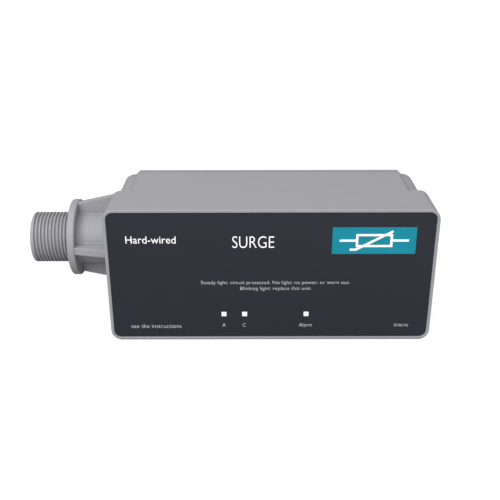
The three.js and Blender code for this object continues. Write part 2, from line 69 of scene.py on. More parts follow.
# The box, from front to back. Insets are from its sides, top and bottom.
BOX_WIDTH = 163.2
BOX_RADIUS = 5.6
FRONT_ROUNDING = 0.45
RIM = {"width": 1.6, "rounding": 0.35}
RECESS = {"depth": 1.0, "radius": 3.6}
FRONT_BLOCK = {"depth": 27.7, "rounding": 0.5}
STEP = {"side": 2.1, "top": 2.3, "radius": 6.3, "overlap": 3}
TOP_RIDGE = {"foot": 9.0, "edge": 11.0, "fillet": 1.2, "rounding": 1.8}
SIDE_RIDGE = {"foot": 10.6, "fillet": 0.6, "rounding": 0.8}
REAR_ROUNDING = 0.35
WALL = 2.6
COLUMN = {"inset": 12.8, "fillet": 0.4, "rounding": 0.6}
COVER = {"thickness": 2.4, "inner_rounding": 0.2, "rounding": 0.3}
SCREW = {"head": 3.0, "depth": 1.7, "shank": 1.5, "length": 14, "sunk": 0.1, "gap": 0.1}
SCREW_TIP = {"radius": 0.3, "length": 1.4}
SCREW_EDGE = ((-0.25, -0.12), (-0.1, 0.0), (0.0, -0.15))
SCREW_CROWN = 0.05
SCREW_CROSS = {"reach": (0.38, 1.7), "depth": 1.1}

# The nipple, its flange, and the neck with its ribs.
THREAD = {"crest": 13.25, "root": 12.3, "pitch": 25.4 / 14, "length": 20.5}
THREAD_FORM = {"phase": 0.35, "crest_end": 0.2, "root_start": 0.9, "steps": 16}
THREAD_PLAIN = {"mouth": 1.2, "flange": 0.5, "fade": 0.5}
MOUTH_ROUNDING = 0.9
FLANGE = {"radius": 20.1, "thickness": 3.8, "rounding": 0.7, "fillet": 0.9}
NECK = {"radius": 14.1, "fillet": 0.6, "steps": 10}
BORE = {"radius": 10, "chamfer": 0.7}
GUSSET = {"half": 2.0, "flange": 19.6, "box": 23.6, "rounding": 0.4}

# The sheet in the rim, and what is set in it or printed on it.
FACEPLATE = {"gap": 0.1, "sunk": 0.3, "rounding": 0.12}
WINDOW = {"side": 2.6, "gap": 0.05, "play": 0.03, "foot": 1, "rounding": 0.1}
BADGE = {"trim": 0.3, "radius": 0.25, "easing": 0.08}
SYMBOL = {"half": 8.4, "rise": 2.9, "reach": 16.9, "line": 1.15, "sunk": 0.01}
SYMBOL_SLASH = (9.0, 4.9)
SYMBOL_TAIL = (11.8, 4.8)
PRINT = {"drop": 0.2, "relief": 0.04}

# Printed words: text, middle and base line from the sheet's visible top left corner, height,
# width, and how much bolder or thinner than the plain font.
TITLES = (
    ("SURGE", 71.3, 18.4, 6.2, 20.5, -0.01),
    ("Hard-wired", 21.2, 16.0, 3.9, 24.5, 0.0),
)
SMALL_PRINT = (
    ("Steady light: circuit protected. No light: no power, or worn out.",
     82.3, 38.8, 2.4, 74.4, -0.012),
    ("Blinking light: replace this unit.", 82.6, 42.1, 2.4, 35.6, -0.012),
    ("A", 56.4, 62.6, 2.0, 1.7, -0.012),
    ("C", 66.7, 62.6, 2.0, 1.6, -0.012),
    ("Alarm", 98.0, 62.6, 2.0, 6.6, -0.012),
    ("see the instructions", 21.7, 63.3, 2.2, 25.6, -0.012),
    ("50/60 Hz", 147.0, 62.6, 1.6, 7.4, -0.012),
)

# Board parts.
VARISTOR = {"dome": 0.12, "rim": 0.9, "eye": 1, "steps": 16, "leg": 0.5, "spacing": 7.5}
VARISTOR_SIDES = {"leg": 12, "skirt": 20}
VARISTOR_SKIRT = ((0, 0.65), (0.5, 1.0), (2.5, 1.7))
SKIRT_START = 0.97
LAMP = {"radius": 1.5, "foot": 0.9, "steps": 11, "first": 0.06}
LAMP_FOOT = ((-0.1, 1.5), (0.0, 1.75), (0.12, 1.88), (0.9, 1.88))
RESISTOR = {"radius": 1.9, "wire": 0.4}
KNEE = {"angle": 1.5, "steps": 8}
RESISTOR_END = ((-4.5, 1.0), (-4.35, 1.5), (-4.0, 1.85), (-3.4, 1.85), (-2.8, 1.62), (-2.4, 1.58))
CAN = {"radius": 4, "groove": 0.4, "start": 1.2, "width": 1.2, "steps": 10}
CAN_BASE = ((0, 3.6), (0.3, 3.95))
CAN_TOP = ((-0.5, 4), (-0.2, 3.9), (0, 3.6), (0, 3.1), (-0.15, 2.9))
CAN_VENT = {"reach": (2.4, 0.12), "depth": 0.35}
DISH_RIM = 0.5

# The leads, and the rubber plug that holds them in the neck.
LEAD = {"radius": 2.1, "bore": 1.5, "end": 3, "bend_end": 24, "spacing": 6.2, "easing": 0.2}
LEAD_STEPS = {"bend": 24, "straight": 12}
LEAD_SIDES = {"skin": 28, "bore": 24, "strand": 8}
STRANDS = {"radius": 0.26, "rings": (1, 6, 12), "packing": 0.97, "lay": 40, "past": 0.6}
PLUG = {"start": 5, "length": 13, "radius": 9.75, "hole": 2.3}
PLUG_EDGE = ((0, -0.6), (0.18, -0.18), (0.6, 0))
PLUG_WAIST = ((-1.2, 0), (-0.8, -0.4), (0.8, -0.4), (1.2, 0))

# The stage. Angles are in degrees.
FLOOR = {"half": 6000, "gap": 0.05, "glow": 0.86, "matte": 0.25, "bounce": 0.3}
LIGHT_DISTANCE = 1500
CAMERA = {"place": (-10.3, -406.1, 170.9), "downward": 24.3, "roll": 0.1, "lens": 55.8, "sensor": 36}

# How far shapes run past a surface they join or cut.
OVERLAP = 1

# Segments in an arc, by its size, and round a full turn, from the thread down to a thin wire.
ARC = 12
SMALL_ARC = 5
TINY_ARC = 4
ROUND = 96
ROUND_LARGE = 64
ROUND_MEDIUM = 48
ROUND_SMALL = 32
ROUND_WIRE = 16

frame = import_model()


def corners(node):
    """A CAD node's lowest and highest corners, in millimetres."""
    low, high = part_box(node)
    return Vector(low) / MM, Vector(high) / MM


def middle(node):
    """The middle of a CAD node, in millimetres."""
    low, high = corners(node)
    return (low + high) / 2


def place_of(node):
    """The (x, z) middle of a CAD node, as seen from the front."""
    low, high = corners(node)
    return (low.x + high.x) / 2, (low.z + high.z) / 2


housing_low, housing_high = corners("housing")
RIGHT = housing_high.x
LEFT = RIGHT - BOX_WIDTH
BOTTOM, TOP = housing_low.z, housing_high.z
FRONT = housing_low.y
BOX_LOW = Vector((LEFT, FRONT, BOTTOM))
HOUSING_REAR = corners("cover_gasket")[0].y
COVER_BACK = corners("rear_cover")[1].y
STEP_PLANE = FRONT + FRONT_BLOCK["depth"]
RECESS_FLOOR = FRONT + RECESS["depth"]
FACE = corners("faceplate")[0].y + FACEPLATE["sunk"]
MOUTH = housing_low.x
SEAT = MOUTH + THREAD["length"]
NIPPLE_DEPTH = middle("lead_plug").y
NIPPLE_HEIGHT = middle("lead_plug").z
WINDOWS = ("a", "c", "alarm")


# ---- meshes ----

def piece(name, mesh, slot, *nodes, material=None):
    """Puts a mesh in the scene as a piece that rides on the only body, in its slot's material."""
    made = bpy.data.objects.new(name, mesh)
    bpy.context.scene.collection.objects.link(made)
    made.data.materials.clear()
    made.data.materials.append(material or MATERIALS[slot])
    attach(made, "root")
    if nodes:
        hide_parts(*nodes)
    return made


def mesh_from(name, points, faces):
    """A mesh in metres from millimetre points, with its normals facing out."""
    mesh = bpy.data.meshes.new(name)
    mesh.from_pydata([Vector(point) * MM for point in points], [], faces)
    work = bmesh.new()
    work.from_mesh(mesh)
    bmesh.ops.recalc_face_normals(work, faces=work.faces)
    work.to_mesh(mesh)
    work.free()
    return mesh


def loft(name, sections):
    """A closed skin over sections that all have the same number of points, capped at both ends."""
    count = len(sections[0])
    points = [point for section in sections for point in section]
    faces = [list(range(count)), [len(points) - count + i for i in range(count)]]
    for row in range(len(sections) - 1):
        for i in range(count):
            j = (i + 1) % count
            a, b = row * count, (row + 1) * count
            faces.append([a + i, a + j, b + j, b + i])
    return mesh_from(name, points, faces)


def arc(centre, radius, start, end, steps):
    """Points of an arc in a plane, by angle in degrees."""
    angles = np.radians(np.linspace(start, end, steps + 1))
    return [(centre[0] + radius * math.cos(a), centre[1] + radius * math.sin(a)) for a in angles]


def rounded(corner_points, steps):
    """A closed outline through (x, z, radius) corners, each rounded with an arc."""
    outline = []
    count = len(corner_points)
    for index, (x, z, radius) in enumerate(corner_points):
        here = Vector((x, z))
        before = (Vector(corner_points[index - 1][:2]) - here).normalized()
        after = (Vector(corner_points[(index + 1) % count][:2]) - here).normalized()
        half = before.angle(after) / 2
        reach = radius / math.tan(half)
        centre = here + (before + after).normalized() * radius / math.sin(half)
        start = here + before * reach - centre
        sweep = start.angle_signed(here + after * reach - centre)
        for step in range(steps + 1):
            outline.append(tuple(centre + rotated(start, -sweep * step / steps)))
    return outline


def rotated(vector, angle):
    c, s = math.cos(angle), math.sin(angle)
    return Vector((vector.x * c - vector.y * s, vector.x * s + vector.y * c))


def rectangle(low, high, inset, radius, steps):
    """A rounded rectangle in XZ between two corners, drawn in by a distance."""
    left, right = low.x + inset, high.x - inset
    bottom, top = low.z + inset, high.z - inset
    return rounded([
        (right, top, radius), (left, top, radius), (left, bottom, radius), (right, bottom, radius),
    ], steps)


def front_outline(inset, radius):
    """The front block's outline, drawn in by a distance."""
    return rectangle(BOX_LOW, housing_high, inset, radius, ARC)


def mirrored_corners(corner):
    """Repeats one corner's (side, top, radius) insets, listed from the side up, at all four."""
    places = []
    for right, up in ((1, 1), (0, 1), (0, 0), (1, 0)):
        run = [(
            RIGHT - side if right else LEFT + side,
            TOP - top if up else BOTTOM + top,
            radius,
        ) for side, top, radius in corner]
        places += run if right == up else run[::-1]
    return places


def stepped(inset=0.0):
    """The section behind the front block, with its notched corners."""
    side, top = STEP["side"] + inset, STEP["top"] + inset
    side_foot = SIDE_RIDGE["foot"] + inset
    return rounded(mirrored_corners([
        (inset, side_foot, SIDE_RIDGE["rounding"]),
        (side, side_foot, SIDE_RIDGE["fillet"]),
        (side, top, STEP["radius"] - inset),
        (TOP_RIDGE["foot"] + inset, top, TOP_RIDGE["fillet"]),
        (TOP_RIDGE["edge"] + inset, inset, TOP_RIDGE["rounding"]),
    ]), SMALL_ARC)


def at_depth(outline, y):
    """Stands an XZ outline at a depth."""
    return [(x, y, z) for x, z in outline]


def rounding_steps(radius, steps=SMALL_ARC):
    """(inset, along) pairs of a quarter round, from its outer end to its inner end."""
    return [(radius * (1 - math.cos(a)), radius * math.sin(a))
            for a in np.linspace(0, math.pi / 2, steps + 1)]


def rounded_near(start, radius, rounding):
    """(along, radius) pairs of a rounded edge at the start of a solid of revolution."""
    return [(start + rounding - along, radius - inset)
            for inset, along in reversed(rounding_steps(rounding))]


def rounded_far(end, radius, rounding):
    """(along, radius) pairs of a rounded edge at the end of a solid of revolution."""
    return [(end - rounding + along, radius - inset)
            for inset, along in rounding_steps(rounding)]


def circle(radius, sides, centre=(0, 0)):
    return [(centre[0] + radius * math.cos(a), centre[1] + radius * math.sin(a))
            for a in np.linspace(0, 2 * math.pi, sides, endpoint=False)]


def turned(name, profile, axis, place, sides=ROUND_SMALL):
    """A solid of revolution along X, Y or Z through a place, from (along, radius) pairs."""
    first = "xyz".index(axis)
    second, third = (first + 1) % 3, (first + 2) % 3
    sections = []
    for along, radius in profile:
        section = []
        for across, up in circle(radius, sides):
            point = list(place)
            point[first] = along
            point[second] += across
            point[third] += up
            section.append(tuple(point))
        sections.append(section)
    return loft(name, sections)


def lathe_x(name, profile, sides=ROUND):
    """A solid of revolution about the nipple's axis, from (x, radius) pairs."""
    return turned(name, profile, "x", (0, NIPPLE_DEPTH, NIPPLE_HEIGHT), sides)


def lathe_y(name, profile, place, sides=ROUND_SMALL):
    """A solid of revolution along Y, from (y, radius) pairs, at an (x, z) place."""
    return turned(name, profile, "y", (place[0], 0, place[1]), sides)


def rod_y(start, end, radius, place, sides):
    """A straight round rod along Y, at an (x, z) place."""
    return lathe_y("rod", [(start, radius), (end, radius)], place, sides)


def block(name, low, high):
    """A box between two corners, for cutting with."""
    points = [(x, y, z) for x in (low[0], high[0]) for y in (low[1], high[1])
              for z in (low[2], high[2])]
    faces = [(0, 1, 3, 2), (4, 6, 7, 5), (0, 4, 5, 1), (2, 3, 7, 6), (0, 2, 6, 4), (1, 5, 7, 3)]
    return mesh_from(name, points, faces)


def cross(place, reach, bottom, top):
    """Two crossed blocks, for cutting, from one block's half sizes in X and Z."""
    x, z = place
    return [block("arm", (x - across, bottom, z - up), (x + across, top, z + up))
            for across, up in (reach, reach[::-1])]


def combine(mesh, tools, operation):
    """Joins or cuts a mesh with closed tool meshes, and returns the result as a new mesh."""
    whole = bpy.data.objects.new("whole", mesh)
    bpy.context.scene.collection.objects.link(whole)
    for tool_mesh in tools:
        tool = bpy.data.objects.new("tool", tool_mesh)
        bpy.context.scene.collection.objects.link(tool)
        modifier = whole.modifiers.new("combine", "BOOLEAN")
        modifier.operation = operation
        modifier.solver = "MANIFOLD"
        modifier.object = tool
        graph = bpy.context.evaluated_depsgraph_get()
        result = bpy.data.meshes.new_from_object(whole.evaluated_get(graph))
        whole.modifiers.clear()
        whole.data = result
        bpy.data.objects.remove(tool)
    result = whole.data
    bpy.data.objects.remove(whole)
    return result


def join(mesh, *tools):
    return combine(mesh, tools, "UNION")


def cut(mesh, *tools):
    return combine(mesh, tools, "DIFFERENCE")


def smooth(obj, angle=32):
    """Smooth shading with sharp edges kept, weighted so that flat faces stay flat."""
    obj.data.polygons.foreach_set("use_smooth", [True] * len(obj.data.polygons))
    obj.data.set_sharp_from_angle(angle=math.radians(angle))
    weighted = obj.modifiers.new("weighted", "WEIGHTED_NORMAL")
    weighted.keep_sharp = True
    weighted.weight = 80


# ---- materials ----

class Shader:
    """A node material, built one node at a time around a Principled shader."""

    def __init__(self, name, color, roughness, metallic=0.0):
        self.material = bpy.data.materials.new(name)
        self.material.use_nodes = True
        self.material.diffuse_color = (*color, 1)
        self.tree = self.material.node_tree
        self.tree.nodes.clear()
        self.surface = self.node("ShaderNodeBsdfPrincipled")
        self.set("Base Color", (*color, 1))
        self.set("Roughness", roughness)
        self.set("Metallic", metallic)
        output = self.node("ShaderNodeOutputMaterial")
        self.tree.links.new(self.surface.outputs[0], output.inputs["Surface"])
        self.place = self.node("ShaderNodeTexCoord").outputs["Object"]
        self.color = color
        self.roughness = roughness

    def node(self, kind, **inputs):
        made = self.tree.nodes.new(kind)
        for name, value in inputs.items():
            self.fill(made.inputs[name.replace("_", " ")], value)
        return made

    def fill(self, socket, value):
        if isinstance(value, bpy.types.NodeSocket):
            self.tree.links.new(value, socket)
        else:
            socket.default_value = value

    def set(self, name, value):
        self.fill(self.surface.inputs[name], value)

    def noise(self, size, detail=2.0, place=None):
        """Noise whose features are about size millimetres across."""
        return self.node(
            "ShaderNodeTexNoise", Vector=place or self.place, Scale=1 / (size * MM), Detail=detail,
        ).outputs["Fac"]

    def spread(self, value, low, high):
        """Maps the middle of a noise's range onto low to high."""
        return self.node(
            "ShaderNodeMapRange", Value=value, **{
                "From Min": 0.3, "From Max": 0.7, "To Min": low, "To Max": high},
        ).outputs["Result"]

    def shades(self, value, *stops):
        """A colour ramp through (position, colour) stops."""
        ramp = self.node("ShaderNodeValToRGB", Fac=value)
        elements = ramp.color_ramp.elements
        while len(elements) < len(stops):
            elements.new(0.5)
        for element, (position, color) in zip(elements, stops):
            element.position = position
            element.color = (*color, 1)
        return ramp.outputs["Color"]

    def vary(self, size, amount, detail=3.0, tint=(1, 1, 1)):
        """Lets the base colour drift by a share either way."""
        dark = tuple(c * (1 - amount) for c in self.color)
        light = tuple(min(1, c * (1 + amount) * t) for c, t in zip(self.color, tint))
        self.set("Base Color", self.shades(self.noise(size, detail), (0.3, dark), (0.7, light)))

    def rough(self, size, amount):
        """Lets the roughness drift by an amount either way."""
        low, high = self.roughness - amount, self.roughness + amount
        self.set("Roughness", self.spread(self.noise(size), low, high))

    def bump(self, *layers):
        """Stacks (height value, depth in millimetres) layers of fine relief."""
        normal = None
        for value, depth in layers:
            made = self.node("ShaderNodeBump", Height=value, Distance=depth * MM)
            if normal:
                self.fill(made.inputs["Normal"], normal)
            normal = made.outputs["Normal"]
        self.set("Normal", normal)

    def painted_corner_shade(self, reach, deepest):
        """Painted shade: darkens the base colour a little where surfaces meet in a corner, found by
        ambient occlusion.
        """
        color = self.surface.inputs["Base Color"].links[0].from_socket
        near = self.node("ShaderNodeAmbientOcclusion", Distance=reach * MM)
        factor = self.node("ShaderNodeMapRange", Value=near.outputs["AO"], **{
            "From Min": 0.35, "From Max": 1.0, "To Min": deepest, "To Max": 1.0}).outputs["Result"]
        scaled = self.node("ShaderNodeVectorMath")
        scaled.operation = "SCALE"
        self.fill(scaled.inputs[0], color)
        self.fill(scaled.inputs["Scale"], factor)
        self.set("Base Color", scaled.outputs["Vector"])


def moulded_plastic(name, color, roughness=0.58, grain=0.35, depth=0.012):
    shader = Shader(name, color, roughness)
    shader.vary(size=9, amount=0.012)
    # painted shade in the plastic's corners and crevices
    shader.painted_corner_shade(reach=5, deepest=0.76)
    shader.rough(size=2.2, amount=0.035)
    shader.bump((shader.noise(grain, 4), depth), (shader.noise(6, 2), 0.03))
    return shader.material


def printed_film(name, color, roughness=0.42):
    shader = Shader(name, color, roughness)
    shader.vary(size=14, amount=0.03)
    shader.rough(size=3, amount=0.03)
    shader.bump((shader.noise(0.25, 3), 0.006))
    return shader.material


def ink(name, color, glow):
    """Screen-printed ink with a painted glow, so that it reads as full white over the dark film."""
    shader = Shader(name, color, 0.5)
    shader.vary(size=2, amount=0.02)
    shader.rough(size=1, amount=0.03)
    # painted glow: the ink is no lamp
    shader.set("Emission Color", (*color, 1))
    shader.set("Emission Strength", glow)
    shader.bump((shader.noise(0.2, 3), 0.004))
    return shader.material


def rubber(name, color):
    shader = Shader(name, color, 0.8)
    shader.vary(size=1.5, amount=0.15)
    shader.rough(size=1.2, amount=0.08)
    shader.bump((shader.noise(0.2, 5), 0.03))
    return shader.material


def plated_metal(name, color, roughness=0.3):
    shader = Shader(name, color, roughness, 1.0)
    stretched = shader.node("ShaderNodeMapping", Vector=shader.place, Scale=(1, 14, 1))
    brushed = shader.noise(0.5, 4, stretched.outputs["Vector"])
    shader.vary(size=1.2, amount=0.08)
    shader.set("Roughness", shader.spread(brushed, roughness - 0.08, roughness + 0.12))
    shader.bump((brushed, 0.004))
    return shader.material


def lens(name, color, glow=0.0):
    shader = Shader(name, color, 0.25)
    shader.vary(size=1.5, amount=0.01)
    shader.rough(size=0.8, amount=0.03)
    shader.set("Subsurface Weight", 0.3)
    shader.set("Subsurface Radius", (0.002, 0.002, 0.002))
    # painted glow where glow is given: the white window lenses glow though the lamps behind them are
    # unlit
    shader.set("Emission Color", (*color, 1))
    shader.set("Emission Strength", glow)
    shader.bump((shader.noise(0.4, 2), 0.004))
    return shader.material


def coated(name, color, roughness=0.4, lump=1.2, depth=0.05):
    shader = Shader(name, color, roughness)
    shader.vary(size=lump, amount=0.06)
    shader.rough(size=lump, amount=0.05)
    shader.set("Coat Weight", 0.25)
    shader.bump((shader.noise(lump, 3), depth))
    return shader.material


def laminate(name, color):
    shader = Shader(name, color, 0.4)
    shader.set("Coat Weight", 0.3)
    weave = shader.node("ShaderNodeTexWave", Vector=shader.place, Scale=1 / (1.2 * MM))
    tone = shader.noise(8, 3)
    shade = tuple(c * 0.8 for c in color)
    shader.set("Base Color", shader.shades(tone, (0.3, shade), (0.7, color)))
    shader.bump((weave.outputs["Fac"], 0.004))
    return shader.material


def stranded_copper(name, color):
    shader = Shader(name, color, 0.3, 1.0)
    shader.vary(size=0.6, amount=0.12, tint=(1, 0.92, 0.86))
    shader.rough(size=0.4, amount=0.08)
    shader.bump((shader.noise(0.15, 3), 0.01))
    return shader.material


MATERIALS = {
    "housing_plastic": moulded_plastic("grey_moulded_plastic", (0.372, 0.368, 0.398)),
    "overlay_film": printed_film("dark_slate_film", (0.0185, 0.0225, 0.0335)),
    "badge_film": printed_film("teal_film", (0.0, 0.29, 0.40)),
    # the white window lenses get a painted glow
    "lens_plastic": lens("white_lens", (0.93, 0.94, 0.95), 0.25),
    "seal_rubber": rubber("black_rubber", (0.012, 0.012, 0.013)),
    "screw_steel": plated_metal("zinc_steel", (0.62, 0.63, 0.65)),
    "board_laminate": laminate("green_laminate", (0.012, 0.11, 0.035)),
    "varistor_coating": coated("blue_epoxy_dip", (0.02, 0.11, 0.42), 0.38, 2.5, 0.12),
    "fuse_ceramic": coated("cream_ceramic", (0.78, 0.73, 0.62), 0.65, 0.5, 0.03),
    "film_case": coated("yellow_case", (0.68, 0.4, 0.03), 0.38, 0.8, 0.02),
    "sleeve_film": coated("black_sleeve", (0.012, 0.013, 0.017), 0.35, 0.8, 0.02),
    "resistor_coating": coated("tan_coating", (0.58, 0.39, 0.22), 0.5, 0.6, 0.04),
    "led_clear": lens("clear_epoxy", (0.75, 0.86, 0.79)),
    "led_red": lens("red_epoxy", (0.55, 0.03, 0.02)),
    "terminal_metal": plated_metal("tinned_brass", (0.55, 0.5, 0.36)),
    "copper": stranded_copper("bare_copper", (0.72, 0.32, 0.17)),
    "insulation_black": coated("black_insulation", (0.014, 0.014, 0.014), 0.45, 0.7, 0.02),
    "insulation_white": coated("white_insulation", (0.8, 0.8, 0.77), 0.45, 0.7, 0.02),
    "insulation_green": coated("green_insulation", (0.012, 0.19, 0.045), 0.45, 0.7, 0.02),
}
# The last number of each ink is its painted glow.
INK = ink("white_ink", (0.95, 0.95, 0.95), 0.3)
SMALL_INK = ink("pale_ink", (0.72, 0.73, 0.75), 0.03)

for subpart in frame["record"]["subparts"]:
    node = frame["nodes"][subpart["node"]]
    node.data.materials.clear()
    node.data.materials.append(MATERIALS[subpart["material_slot"]])


# ---- housing ----

def front_block():
    """The block behind the faceplate, from the recess's floor, over the rim, to the step."""
    radius, rim = RECESS["radius"], RIM["rounding"]
    sections = [at_depth(front_outline(RIM["width"], radius), RECESS_FLOOR)]
    for inset, along in rounding_steps(rim):
        outline = front_outline(RIM["width"] - inset, radius + inset)
        sections.append(at_depth(outline, FRONT + rim - along))
    for inset, along in reversed(rounding_steps(FRONT_ROUNDING)):
        outline = front_outline(inset, BOX_RADIUS - inset)
        sections.append(at_depth(outline, FRONT + FRONT_ROUNDING - along))
    back = STEP_PLANE - FRONT_BLOCK["rounding"]
    for inset, along in rounding_steps(FRONT_BLOCK["rounding"]):
        outline = front_outline(inset, BOX_RADIUS - inset)
        sections.append(at_depth(outline, back + along))
    return loft("front_block", sections)


def rear_block():
    """The notched part behind the step, which starts inside the front block."""
    sections = [at_depth(stepped(), STEP_PLANE - STEP["overlap"])]
    for inset, along in rounding_steps(REAR_ROUNDING, steps=3):
        sections.append(at_depth(stepped(inset), HOUSING_REAR - REAR_ROUNDING + along))
    return loft("rear_block", sections)


def neck_section(x, reach):
    """The neck's outline across its axis: a round with four filleted ribs."""
    half, tip = GUSSET["half"], GUSSET["rounding"]
    radius, fillet = NECK["radius"], NECK["fillet"]
    centre = math.sqrt((radius + fillet) ** 2 - (half + fillet) ** 2)
    lean = math.degrees(math.atan2(half + fillet, centre))
    quarter = arc((0, 0), radius, -45, -lean, NECK["steps"])[1:]
    quarter += arc((centre, -half - fillet), fillet, 180 - lean, 90, SMALL_ARC)[1:]
    quarter += arc((reach - tip, -half + tip), tip, -90, 0, TINY_ARC)
    quarter += arc((reach - tip, half - tip), tip, 0, 90, TINY_ARC)
    quarter += arc((centre, half + fillet), fillet, -90, lean - 180, SMALL_ARC)[:-1]
    quarter += arc((0, 0), radius, lean, 45, NECK["steps"])
    section = []
    for turn in range(4):
        for u, v in quarter:
            across = rotated(Vector((u, v)), turn * math.pi / 2)
            section.append((x, NIPPLE_DEPTH + across.x, NIPPLE_HEIGHT + across.y))
    return section


def neck():
    """The neck and its four ribs, from inside the flange to inside the box's side."""
    start = SEAT + FLANGE["thickness"]
    return loft("neck", [
        neck_section(start - FLANGE["thickness"] / 2, GUSSET["flange"]),
        neck_section(start, GUSSET["flange"]),
        neck_section(LEFT, GUSSET["box"]),
        neck_section(LEFT + STEP["side"] + OVERLAP, GUSSET["box"]),
    ])


def flange():
    """The flange, with rounded edges and a fillet down to the neck."""
    radius, rounding, fillet = FLANGE["radius"], FLANGE["rounding"], FLANGE["fillet"]
    back = SEAT + FLANGE["thickness"]
    inner = NECK["radius"] - 2 * OVERLAP
    foot = [(back + inset, NECK["radius"] + fillet - along)
            for inset, along in rounding_steps(fillet)]
    edges = rounded_near(SEAT, radius, rounding) + rounded_far(back, radius, rounding)
    return lathe_x("flange", [(SEAT, inner)] + edges + foot + [(back + fillet, inner)])


def thread_radius(x, turn):
    """The thread's radius at a place along the axis and a fraction of a turn."""
    crest, root = THREAD["crest"], THREAD["root"]
    phase = (x / THREAD["pitch"] - THREAD_FORM["phase"] - turn) % 1.0
    groove = 0.5 + 0.5 * math.cos(2 * math.pi * phase)
    flank = THREAD_FORM["root_start"] - THREAD_FORM["crest_end"]
    shaped = min(1.0, max(0.0, (groove - THREAD_FORM["crest_end"]) / flank))
    shaped = shaped * shaped * (3 - 2 * shaped)
    from_mouth = x - MOUTH - THREAD_PLAIN["mouth"]
    from_flange = SEAT - THREAD_PLAIN["flange"] - x
    cutting = min(1.0, max(0.0, min(from_mouth, from_flange) / THREAD_PLAIN["fade"]))
    return crest - (crest - root) * shaped * cutting


def thread():
    """The threaded nipple, from its rounded mouth to inside the flange."""
    start = MOUTH + MOUTH_ROUNDING
    count = int((SEAT - start) / THREAD["pitch"] * THREAD_FORM["steps"])
    columns = [(start - along, inset)
               for inset, along in reversed(rounding_steps(MOUTH_ROUNDING))]
    columns += [(x, 0.0) for x in np.linspace(start, SEAT, count)[1:]]
    columns.append((SEAT + OVERLAP, 0.0))
    sections = []
    for x, inset in columns:
        section = []
        for side in range(ROUND):
            turn = side / ROUND
            radius = thread_radius(x, turn) - inset
            angle = 2 * math.pi * turn
            section.append((
                x, NIPPLE_DEPTH + radius * math.cos(angle), NIPPLE_HEIGHT + radius * math.sin(angle),
            ))
        sections.append(section)
    return loft("thread", sections)


def cavity():
    """The inside of the box, less its corner columns."""
    inset, fillet = COLUMN["inset"], COLUMN["fillet"]
    outline = rounded(mirrored_corners([
        (WALL, inset, fillet), (inset, inset, COLUMN["rounding"]), (inset, WALL, fillet),
    ]), steps=3)
    return loft("cavity", [
        at_depth(outline, RECESS_FLOOR + WALL), at_depth(outline, HOUSING_REAR + OVERLAP),
    ])


def bore():
    """The nipple's bore, with a chamfer that runs on past the mouth."""
    radius, chamfer = BORE["radius"], BORE["chamfer"]
    return lathe_x("bore", [
        (MOUTH - OVERLAP, radius + chamfer + OVERLAP),
        (MOUTH + chamfer, radius),
        (LEFT + WALL + OVERLAP, radius),
    ], ROUND_LARGE)


def window_boxes(gap, front, back):
    """One block for each indicator window, grown by a gap."""
    half = WINDOW["side"] / 2 + gap
    blocks = []
    for name in WINDOWS:
        x, z = place_of(f"window_{name}")
        blocks.append(block("window", (x - half, front, z - half), (x + half, back, z + half)))
    return blocks


def screw_places():
    return [place_of(f"cover_screw_{index}") for index in range(1, 5)]


def housing():
    shell = join(front_block(), rear_block(), flange(), neck(), thread())
    screw_holes = [rod_y(HOUSING_REAR - SCREW["length"], HOUSING_REAR + OVERLAP,
                         SCREW["shank"] + SCREW["gap"], place, ROUND_SMALL)
                   for place in screw_places()]
    windows = window_boxes(FACEPLATE["gap"], FRONT - OVERLAP, RECESS_FLOOR + WALL + OVERLAP)
    made = cut(shell, cavity(), bore(), *windows, *screw_holes)
    smooth(piece("housing_shell", made, "housing_plastic", "housing"))


def rear_cover():
    """The back plate with rounded edges and countersunk holes."""
    front, back = COVER_BACK - COVER["thickness"], COVER_BACK
    inner, outer = COVER["inner_rounding"], COVER["rounding"]
    sections = [at_depth(stepped(inset), front + inner - along)
                for inset, along in reversed(rounding_steps(inner, steps=2))]
    sections += [at_depth(stepped(inset), back - outer + along)
                 for inset, along in rounding_steps(outer)]
    wide, narrow = SCREW["head"] + SCREW["gap"], SCREW["shank"] + SCREW["gap"]
    top = back - SCREW["sunk"]
    sink = [(front - OVERLAP, narrow), (top - SCREW["depth"], narrow), (top, wide),
            (back + OVERLAP, wide)]
    sinks = [lathe_y("sink", sink, place, ROUND_MEDIUM) for place in screw_places()]
    made = cut(loft("rear_cover", sections), *sinks)
    smooth(piece("back_cover", made, "housing_plastic", "rear_cover"))


def cover_screw(index, place):
    """A countersunk screw with a cross recess."""
    head, shank = SCREW["head"], SCREW["shank"]
    back = COVER_BACK - SCREW["sunk"]
    tip = COVER_BACK - SCREW["length"]
    profile = [(tip, SCREW_TIP["radius"]), (tip + SCREW_TIP["length"], shank),
               (back - SCREW["depth"], shank)]
    profile += [(back + along, head + out) for along, out in SCREW_EDGE]
    profile.append((back + SCREW_CROWN, head / 2))
    arms = cross(place, SCREW_CROSS["reach"], back - SCREW_CROSS["depth"], back + OVERLAP)
    made = cut(lathe_y("screw", profile, place, ROUND_MEDIUM), *arms)
    smooth(piece(f"cross_screw_{index}", made, "screw_steel", f"cover_screw_{index}"))


# ---- faceplate ----

def faceplate():
    """The dark sheet in the recess, with its three window holes."""
    rounding = FACEPLATE["rounding"]
    edge = RIM["width"] + FACEPLATE["gap"]
    radius = RECESS["radius"] - FACEPLATE["gap"]
    sections = [at_depth(front_outline(edge, radius), RECESS_FLOOR)]
    for inset, along in rounding_steps(rounding, steps=3):
        outline = front_outline(edge + inset, radius - inset)
        sections.append(at_depth(outline, FACE + rounding - along))
    holes = window_boxes(WINDOW["gap"], FRONT - OVERLAP, RECESS_FLOOR + OVERLAP)
    made = cut(loft("faceplate", sections), *holes)
    smooth(piece("face_sheet", made, "overlay_film", "faceplate"))


